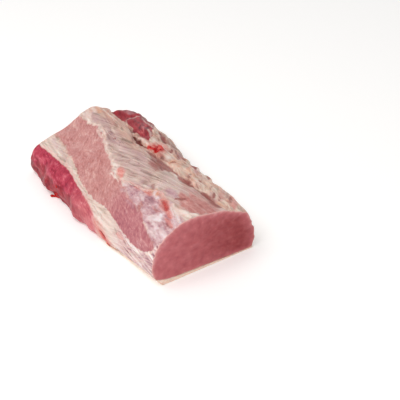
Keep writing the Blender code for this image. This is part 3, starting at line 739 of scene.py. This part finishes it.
# Five colours for each tissue, from its darkest streaks to its palest flecks, the third one its own.
TISSUE_COLOURS = {
    "peach_strip": ((140, 80, 74), (194, 138, 124), (222, 178, 162), (232, 202, 186), (246, 230, 218)),
    "olive_strip": ((132, 86, 80), (176, 138, 126), (202, 172, 157), (220, 200, 185), (240, 228, 218)),
    "lilac_skin": ((144, 108, 108), (178, 143, 142), (202, 170, 166), (215, 189, 185), (234, 214, 209)),
    "olive_skin": ((138, 108, 101), (174, 144, 135), (198, 170, 159), (213, 191, 179), (234, 217, 206)),
    "warm_skin": ((158, 108, 98), (194, 142, 132), (210, 170, 155), (222, 194, 177), (242, 222, 208)),
    "membrane": ((154, 98, 112), (184, 138, 145), (205, 165, 168), (219, 190, 194), (236, 220, 225)),
    "lean": ((138, 72, 72), (168, 101, 97), (187, 122, 118), (203, 145, 139), (224, 180, 174)),
    # The cut faces' colour, and a darker copy of it laid on as painted shade towards the right.
    "cut_left": ((156, 66, 76), (182, 90, 97), (193, 103, 108), (202, 112, 118), (218, 140, 144)),
    "cut_painted_shade": ((112, 24, 34), (138, 42, 48), (152, 54, 58), (164, 68, 70), (188, 104, 100)),
    "pale_eye": ((150, 86, 84), (184, 120, 117), (200, 141, 138), (212, 160, 155), (234, 202, 194)),
    "deep_eye": ((138, 66, 82), (168, 96, 106), (186, 116, 122), (200, 138, 140), (226, 184, 180)),
    "seam_fat": ((160, 140, 126), (198, 174, 160), (218, 194, 184), (230, 210, 200), (242, 230, 220)),
    "strand_fat": ((138, 92, 104), (188, 141, 147), (220, 184, 183), (234, 213, 210), (246, 236, 233)),
    "muscle_top": ((122, 28, 48), (160, 46, 68), (182, 60, 82), (200, 84, 102), (230, 148, 160)),
    "muscle_low": ((84, 20, 30), (126, 34, 46), (155, 47, 58), (174, 68, 78), (212, 130, 136)),
    "muscle_thin": ((170, 72, 84), (194, 94, 104), (209, 114, 121), (218, 138, 140), (234, 178, 174)),
    "end_muscle": ((98, 18, 30), (138, 34, 46), (162, 48, 59), (178, 65, 72), (206, 118, 117)),
    "mauve": ((138, 98, 108), (168, 126, 134), (188, 146, 154), (204, 168, 174), (222, 194, 198)),
    "amber": ((178, 106, 80), (204, 136, 108), (220, 158, 128), (232, 180, 152), (244, 208, 184)),
    "cream_white": ((204, 166, 156), (222, 192, 180), (234, 210, 200), (240, 222, 214), (246, 236, 230)),
    "cool_white": ((194, 160, 166), (212, 184, 188), (226, 204, 204), (234, 218, 220), (244, 234, 236)),
    "salmon": ((186, 88, 84), (206, 118, 111), (218, 140, 132), (228, 164, 155), (240, 194, 185)),
    "brown": ((108, 86, 76), (128, 104, 92), (144, 120, 108), (158, 136, 122), (182, 160, 146)),
    "maroon": ((108, 50, 48), (130, 66, 62), (148, 84, 79), (162, 100, 94), (186, 130, 122)),
    # Painted shade for the gaps and the crease.
    "gap_painted_shade": ((76, 26, 24), (94, 36, 32), (112, 48, 42), (128, 62, 54), (150, 84, 76)),
    "blood": ((146, 14, 20), (178, 26, 30), (200, 42, 42), (216, 66, 60), (234, 112, 98)),
    "rim": ((206, 142, 140), (222, 168, 163), (232, 188, 182), (240, 208, 201), (248, 228, 222)),
    "cut_rim": ((202, 134, 128), (214, 150, 142), (222, 166, 157), (230, 182, 174), (238, 202, 194)),
}


def light_of(value):
    """A colour channel as light, from its usual 0 to 255."""
    share = value / 255.0
    return share / 12.92 if share <= 0.04045 else ((share + 0.055) / 1.055) ** 2.4


class Look:
    """A wet material in the making: colours and a fine height, laid over each other by their shares."""

    def __init__(self, name):
        self.material = bpy.data.materials.new(name)
        self.material.use_nodes = True
        self.nodes = self.material.node_tree.nodes
        self.links = self.material.node_tree.links
        self.shader = self.nodes["Principled BSDF"]
        self.colour = None
        self.height = None

    def wire(self, source, target):
        """Joins an output to an input, or sets the input to a plain value."""
        if hasattr(source, "links"):
            self.links.new(source, target)
        else:
            target.default_value = source

    def field(self, label):
        """One of the fields that the skin carries."""
        node = self.nodes.new("ShaderNodeAttribute")
        node.attribute_name = label
        return node.outputs["Fac"]

    def math(self, operation, *values, clamp=False):
        """One step of arithmetic on outputs and plain values."""
        node = self.nodes.new("ShaderNodeMath")
        node.operation = operation
        node.use_clamp = clamp
        for value, target in zip(values, node.inputs):
            self.wire(value, target)
        return node.outputs[0]

    def mix(self, share, a, b, kind="RGBA"):
        """The first of two colours or values where a share is 0, the second where it is 1."""
        node = self.nodes.new("ShaderNodeMix")
        node.data_type = kind
        first, second, result = {"RGBA": (6, 7, 2), "FLOAT": (2, 3, 0)}[kind]
        self.wire(share, node.inputs[0])
        self.wire(a, node.inputs[first])
        self.wire(b, node.inputs[second])
        return node.outputs[result]

    def ramp(self, value, colours):
        """The colour that a value from 0 to 1 reads off a row of five."""
        node = self.nodes.new("ShaderNodeValToRGB")
        stops = node.color_ramp.elements
        while len(stops) < len(colours):
            stops.new(0.5)
        for stop, place, colour in zip(stops, RAMP_PLACES, colours):
            stop.position = place
            stop.color = (*[light_of(channel) for channel in colour], 1.0)
        self.wire(value, node.inputs[0])
        return node.outputs[0]

    def speckle(self, long_mm, wide_mm, turn=0.0, detail=3.0, roughness=0.6, distortion=0.0, solid=False):
        """A noise with features of a length and a width, turned on the skin laid flat, or in the solid."""
        if solid:
            place = self.nodes.new("ShaderNodeTexCoord").outputs["Object"]
            unit = 1 / MM
        else:
            flat_map = self.nodes.new("ShaderNodeUVMap")
            flat_map.uv_map = "laid_flat"
            place = flat_map.outputs["UV"]
            unit = FLAT_UNIT
        placing = self.nodes.new("ShaderNodeMapping")
        placing.vector_type = "TEXTURE"
        placing.inputs["Rotation"].default_value = (0.0, 0.0, math.radians(turn))
        placing.inputs["Scale"].default_value = (long_mm / unit, wide_mm / unit, wide_mm / unit)
        self.wire(place, placing.inputs["Vector"])
        node = self.nodes.new("ShaderNodeTexNoise")
        node.inputs["Scale"].default_value = 1.0
        node.inputs["Detail"].default_value = detail
        node.inputs["Roughness"].default_value = roughness
        node.inputs["Distortion"].default_value = distortion
        self.wire(placing.outputs["Vector"], node.inputs["Vector"])
        return node.outputs[0]

    def toned(self, noise, by_tone=0.22, by_noise=0.7):
        """The skin's tone with a fine noise over it, as a place on a ramp."""
        fine = self.math("MULTIPLY", self.math("SUBTRACT", noise, 0.5), by_noise)
        tone = self.math("MULTIPLY_ADD", self.field("tone"), by_tone, 0.5)
        return self.math("ADD", tone, fine, clamp=True)

    def spread(self, value, low=0.35, high=0.65):
        """A value stretched so that it runs from 0 at its low end to 1 at its high end."""
        node = self.nodes.new("ShaderNodeMapRange")
        node.interpolation_type = "SMOOTHSTEP"
        node.inputs["From Min"].default_value = low
        node.inputs["From Max"].default_value = high
        self.wire(value, node.inputs["Value"])
        return node.outputs[0]

    def share(self, label, noise, push=0.5, low=0.3, high=0.7):
        """A field turned into a crisp share, its edge broken up by a noise."""
        fine = self.math("MULTIPLY", self.math("SUBTRACT", noise, 0.5), push)
        return self.spread(self.math("ADD", self.field(label), fine), low, high)

    def lay(self, share, colour, height):
        """Lays a tissue of a colour and a fine height over what is there."""
        self.colour = colour if self.colour is None else self.mix(share, self.colour, colour)
        self.height = height if self.height is None else self.mix(share, self.height, height, "FLOAT")

    def wet(self, roughness, bump_mm, bump_strength):
        """Joins the layers to the shader: moist, a little see-through, with the fine height as bump."""
        self.wire(self.colour, self.shader.inputs["Base Color"])
        gloss = self.math("MULTIPLY_ADD", self.math("SUBTRACT", self.height, 0.5), -0.35, roughness)
        self.wire(gloss, self.shader.inputs["Roughness"])
        self.shader.inputs["Subsurface Weight"].default_value = 0.25
        self.shader.inputs["Subsurface Radius"].default_value = (1.0, 0.35, 0.25)
        self.shader.inputs["Subsurface Scale"].default_value = 0.003
        self.shader.inputs["Specular IOR Level"].default_value = 0.2
        bump = self.nodes.new("ShaderNodeBump")
        bump.inputs["Strength"].default_value = bump_strength
        bump.inputs["Distance"].default_value = bump_mm * MM
        self.wire(self.height, bump.inputs["Height"])
        self.wire(bump.outputs["Normal"], self.shader.inputs["Normal"])


meat = Look("raw_pork")
fibre_noise = meat.speckle(3.6, 1.0, turn=33, detail=4.0, roughness=0.62)
fine_noise = meat.speckle(1.5, 1.5)
thread_noise = meat.speckle(24.0, 1.6, turn=-14, detail=4.0, roughness=0.62, distortion=0.4)
patch_noise = meat.speckle(5.0, 2.8, turn=-6, detail=5.0, roughness=0.66, distortion=0.3)
bundle_noise = meat.speckle(5.0, 1.1, turn=74, detail=4.0, roughness=0.62, distortion=0.3)
slant_noise = meat.speckle(12.0, 3.0, turn=14, detail=5.0, roughness=0.66, distortion=0.8)
cut_noise = meat.speckle(6.0, 6.0, detail=4.0, roughness=0.55, distortion=0.3, solid=True)
hue = meat.spread(meat.speckle(16.0, 9.0, turn=20, roughness=0.55, distortion=0.8))


def tissue(name, value):
    """The colour of a tissue at a place on its ramp."""
    return meat.ramp(value, TISSUE_COLOURS[name])


def between(share, first, second, value):
    """The colour of a tissue that passes from one ramp to another by a share."""
    return meat.mix(share, tissue(first, value), tissue(second, value))


# Fascia and fat of the rib strip, under everything else.
strip_value = meat.toned(slant_noise, by_tone=0.25, by_noise=1.05)
meat.lay(1.0, between(hue, "peach_strip", "olive_strip", strip_value), slant_noise)
# Silverskin: thin, grey-beige, with mauve and grey threads, warmer over the fat at the far end.
skin_value = meat.toned(thread_noise, by_noise=0.85)
grey_skin = between(hue, "lilac_skin", "olive_skin", skin_value)
skin_colour = meat.mix(meat.field("warm"), grey_skin, tissue("warm_skin", skin_value))
meat.lay(meat.field("silverskin"), skin_colour, thread_noise)
# The bluish membrane beside the fresh cut.
membrane_value = meat.toned(patch_noise, by_noise=1.0)
meat.lay(meat.field("membrane"), tissue("membrane", membrane_value), patch_noise)
# Lean that shows through the thin skin.
patch_value = meat.toned(patch_noise)
lean_share = meat.share("lean", fibre_noise, push=0.4, low=0.05, high=1.0)
meat.lay(lean_share, tissue("lean", patch_value), patch_noise)
# The cut faces: smooth, deep rose, with painted shade that darkens them to the right.
cut_value = meat.toned(cut_noise, by_tone=0.16, by_noise=0.5)
cut_colour = between(meat.field("cut_painted_shade"), "cut_left", "cut_painted_shade", cut_value)
meat.lay(meat.field("cut"), cut_colour, cut_noise)
# The bare eye of the loin: pale at the far end, deeper towards the fresh cut.
eye_colour = between(meat.field("near_end"), "pale_eye", "deep_eye", meat.toned(fibre_noise))
meat.lay(meat.share("eye", fibre_noise, low=0.2, high=0.8), eye_colour, fibre_noise)
# The seam of fat above the dark muscle, which frays into strands towards the fresh cut.
seam_colour = between(meat.field("strands"), "seam_fat", "strand_fat", meat.toned(thread_noise))
meat.lay(meat.share("seam", fine_noise, push=0.4), seam_colour, thread_noise)
# The dark side muscle: bright crimson along its top, browner below, paler where it thins out.
muscle_value = meat.toned(bundle_noise)
full_muscle = between(meat.field("flank_low"), "muscle_top", "muscle_low", muscle_value)
muscle_colour = meat.mix(meat.field("muscle_full"), tissue("muscle_thin", muscle_value), full_muscle)
meat.lay(meat.share("muscle", fine_noise, push=0.35, low=0.15, high=0.85), muscle_colour, bundle_noise)
# The dark end of the strip.
end_share = meat.share("end_muscle", slant_noise, push=0.3, low=0.15, high=0.85)
meat.lay(end_share, tissue("end_muscle", meat.toned(slant_noise)), slant_noise)
# Stains and marks, from the lowest to the topmost, each as its share, its colour and its fine height; the
# brown, maroon and gap marks also carry painted shade, and the white ones painted highlights over the
# membrane. The last two are the pale line along the side muscle and the pale edge of the skin round each
# cut.
fine_value = meat.toned(fine_noise)
# Over the membrane the white strokes turn cool white: painted highlights on the wet membrane.
white_colour = between(meat.field("membrane"), "cream_white", "cool_white", patch_value)
stains = (
    (meat.field("mauve"), tissue("mauve", patch_value), patch_noise),
    (meat.field("amber"), tissue("amber", fine_value), fine_noise),
    (meat.share("white", fine_noise, 0.3, 0.1, 0.95), white_colour, patch_noise),
    (meat.field("salmon"), tissue("salmon", fine_value), fine_noise),
    (meat.field("brown"), tissue("brown", fine_value), fine_noise),
    (meat.share("maroon", slant_noise, 0.3, 0.05, 0.95), tissue("maroon", fine_value), slant_noise),
    (meat.share("gap_painted_shade", fine_noise, 0.2, 0.05, 0.8), tissue("gap_painted_shade", fine_value), fine_noise),
    (meat.share("blood", fine_noise, 0.2, 0.0, 0.9), tissue("blood", fine_value), fine_noise),
    (meat.share("rim", fine_noise, 0.4, 0.1, 0.9), tissue("rim", fine_value), fine_noise),
    (meat.math("MULTIPLY", meat.field("cut_rim"), 0.7), tissue("cut_rim", fine_value), fine_noise),
)
for share, colour, fine_height in stains:
    meat.lay(share, colour, fine_height)
meat.wet(roughness=0.42, bump_mm=0.5, bump_strength=0.35)

loin.data.materials.append(meat.material)
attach(loin, "root")
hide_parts("lean")

# ---------------------------------------------------------------------------------------------------------
# The fat layer. A sheet of firm back fat under the meat, which laps up the left flank beside the fresh cut.
# It is the solid's own shape, sliced finely and given the soft dents and threads of cut fat.

FAT_SLICE = 2.5
FAT_DENTS = 0.35
FAT_COLOURS = ((222, 176, 156), (238, 200, 180), (246, 216, 198), (250, 228, 212), (252, 238, 226))


def sliced(work, axis, first, last, step):
    """Cuts a bmesh by planes at even steps along one axis, in mm."""
    direction = Vector([1.0 if k == axis else 0.0 for k in range(3)])
    for place in np.arange(first + step, last, step):
        everything = work.verts[:] + work.edges[:] + work.faces[:]
        point = direction * place * MM
        bmesh.ops.bisect_plane(work, geom=everything, plane_co=point, plane_no=direction, dist=1e-7)


fat_work = copy_of("fat_cap")
fat_low, fat_high = [[c / MM for c in corner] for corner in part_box("fat_cap")]
sliced(fat_work, 0, fat_low[0], fat_high[0], FAT_SLICE)
sliced(fat_work, 1, fat_low[1], fat_high[1], FAT_SLICE * 2)
bmesh.ops.triangulate(fat_work, faces=[f for f in fat_work.faces if len(f.verts) > 4])
fat_work.normal_update()
for vert in fat_work.verts:
    x, y, z = vert.co / MM
    dent = FAT_DENTS * float(grain(x / 9, (y + z) / 5, 71))
    lifted = vert.co + vert.normal * dent * MM
    lifted.x = min(max(lifted.x, fat_low[0] * MM), fat_high[0] * MM)
    lifted.z = max(lifted.z, 0.0) if z > 0.3 else vert.co.z
    vert.co = lifted
bmesh.ops.recalc_face_normals(fat_work, faces=fat_work.faces)
fat_layer = finished(fat_work, "fat_layer")
fat_layer.data.shade_smooth()

fat = Look("pork_fat")
fat_noise = fat.speckle(14.0, 2.2, detail=4.0, distortion=0.5, solid=True)
fat.lay(1.0, fat.ramp(fat_noise, FAT_COLOURS), fat_noise)
fat.wet(roughness=0.45, bump_mm=0.4, bump_strength=0.3)
fat_layer.data.materials.append(fat.material)
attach(fat_layer, "root")
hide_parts("fat_cap")

# ---------------------------------------------------------------------------------------------------------
# Clots. Small wet lumps of blood in the crease, on the left flank and in the nick at its foot, and a red
# tag of torn muscle that hangs out onto the table. Each is a ball pressed flat on what it lies on and
# pulled out of round.

# Each as (along, angle, half length, half width, half thickness), in mm, and the way it lies, in degrees.
CLOTS = (
    (-12, 63.5, 3.6, 1.8, 0.9, 50), (-8, 64.5, 2.2, 1.5, 0.9, 20), (-15, 60, 2.6, 1.5, 0.7, 60),
    (-10, 58, 2.4, 1.3, 0.6, 40), (-18, 66.5, 1.8, 0.9, 0.6, 10), (-5, 66.5, 1.4, 0.9, 0.6, 0),
    (45, 184, 2.2, 0.8, 0.6, 40), (-58, 173.5, 2.2, 1.2, 0.5, 20),
)
# The lumps of the tag on the table, each as a place and half sizes in mm, and the ways those sizes run.
TAG = (
    ((-68.0, -75.2, 1.2), (2.3, 1.7, 1.2)), ((-66.2, -73.2, 1.3), (2.6, 1.5, 1.2)),
    ((-64.0, -71.6, 1.2), (2.6, 1.3, 1.1)), ((-61.5, -70.6, 1.4), (2.6, 1.4, 1.3)),
)
TAG_WAYS = (Vector((0.7, 0.7, 0.0)), Vector((-0.7, 0.7, 0.0)), Vector((0.0, 0.0, 1.0)))
CLOT_COLOURS = ((120, 10, 14), (158, 18, 20), (186, 30, 30), (204, 52, 46), (226, 104, 90))


def on_skin(x, turn, lift=0.0):
    """A point at or over the finished skin, in mm, and the direction straight out of the skin there."""
    i = int(np.argmin(np.abs(along - x)))
    j = int(np.argmin(np.abs(angle[i] - turn)))
    out = Vector((0.0, *outward[i, j]))
    return Vector((x, *raised[i, j])) + out * lift, out


def lying(out, degrees):
    """The long and the wide direction of a thing that lies on the skin, turned from the loin's length."""
    wide = out.cross(Vector((1.0, 0.0, 0.0))).normalized()
    long = wide.cross(out)
    turn = math.radians(degrees)
    return long * math.cos(turn) - wide * math.sin(turn), wide * math.cos(turn) + long * math.sin(turn)


def pressed_ball(work, place, directions, sizes, seed):
    """Adds a ball with its own size in each of three directions, a little out of round."""
    columns = [way * size * MM for way, size in zip(directions, sizes)]
    shape = Matrix(columns).transposed().to_4x4()
    shape.translation = place * MM
    made = bmesh.ops.create_icosphere(work, subdivisions=3, radius=1.0, matrix=shape)["verts"]
    for vert in made:
        away = vert.co / MM - place
        swell = 0.32 * float(grain(vert.co.x / MM / 1.6 + seed, away.dot(directions[1]) / 1.3, 81))
        vert.co = (place + away * (1 + swell)) * MM
        vert.co.z = max(vert.co.z, 0.0)


clot_work = bmesh.new()
for number, (x, turn, half_length, half_width, half_thickness, way) in enumerate(CLOTS):
    place, out = on_skin(x, turn, 0.1)
    long, wide = lying(out, way)
    pressed_ball(clot_work, place, (long, wide, out), (half_length, half_width, half_thickness), number)
for number, (place, sizes) in enumerate(TAG):
    pressed_ball(clot_work, Vector(place), TAG_WAYS, sizes, 20 + number)
bmesh.ops.recalc_face_normals(clot_work, faces=clot_work.faces)
clots = finished(clot_work, "clots")
clots.data.shade_smooth()

clot_look = Look("blood")
clot_noise = clot_look.speckle(1.6, 1.6, solid=True)
clot_look.lay(1.0, clot_look.ramp(clot_noise, CLOT_COLOURS), clot_noise)
clot_look.wet(roughness=0.3, bump_mm=0.3, bump_strength=0.3)
clots.data.materials.append(clot_look.material)
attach(clots, "root")

# ---------------------------------------------------------------------------------------------------------
# Loose threads. Fine pale threads of connective tissue that were pulled up when the skin was trimmed, along
# the seam, the lower flank and the silverskin. Each is a thin round strand that follows the skin.

# Each as (along, angle) at its two ends, and its half thickness in mm.
THREADS = (
    (-118, 152, -64, 154.5, 0.3), (-100, 149, -44, 156.5, 0.3), (-30, 159.5, 24, 164, 0.35),
    (2, 162, 44, 165, 0.4), (50, 167, 92, 171, 0.3), (58, 163.5, 100, 166, 0.3),
    (66, 175, 108, 170, 0.28), (84, 173, 116, 161, 0.32), (94, 176, 120, 164, 0.3),
    (60, 171, 88, 175, 0.26), (20, 128.5, 60, 119.5, 0.45), (98, 118, 123, 121.5, 0.4),
    (18, 124, 34, 118, 0.35), (-44, 110, 6, 103, 0.25), (-14, 106, 38, 96, 0.25),
    (26, 104, 80, 92, 0.25), (-90, 92, -40, 98, 0.25), (-104, 70, -66, 78, 0.25),
    (-92, 25, -62, 33, 0.25), (0, 128, 14, 131, 0.4), (-20, 121, 0, 130, 0.4), (70, 50, 104, 60, 0.3),
    (40, 60, 84, 63, 0.3), (-20, 52, 30, 50, 0.3), (10, 42, 60, 52, 0.3),
)
THREAD_COLOURS = ((204, 152, 146), (220, 180, 172), (230, 200, 190), (238, 216, 208), (246, 232, 226))
THREAD_STEP = 2.5

thread_curve = bpy.data.curves.new("threads", "CURVE")
thread_curve.dimensions = "3D"
thread_curve.bevel_depth = MM
thread_curve.bevel_resolution = 2
thread_curve.use_fill_caps = True
for number, (first_x, first_turn, last_x, last_turn, half_thick) in enumerate(THREADS):
    count = int(abs(last_x - first_x) / THREAD_STEP) + 4
    strand = thread_curve.splines.new("POLY")
    strand.points.add(count - 1)
    for k in range(count):
        share = k / (count - 1)
        x = first_x + (last_x - first_x) * share
        stray = 1.4 * float(grain(x / 9.0, number * 3.1, 82))
        turn = first_turn + (last_turn - first_turn) * share + stray
        place, out = on_skin(x, turn, half_thick * 0.5)
        strand.points[k].co = (*(place * MM), 1.0)
        strand.points[k].radius = half_thick * (0.35 + 0.65 * math.sin(math.pi * share))
threads = bpy.data.objects.new("threads", thread_curve)
bpy.context.collection.objects.link(threads)

thread_look = Look("connective_tissue")
strand_noise = thread_look.speckle(5.0, 5.0, solid=True)
thread_look.lay(1.0, thread_look.ramp(strand_noise, THREAD_COLOURS), strand_noise)
thread_look.wet(roughness=0.4, bump_mm=0.2, bump_strength=0.2)
thread_curve.materials.append(thread_look.material)
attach(threads, "root")
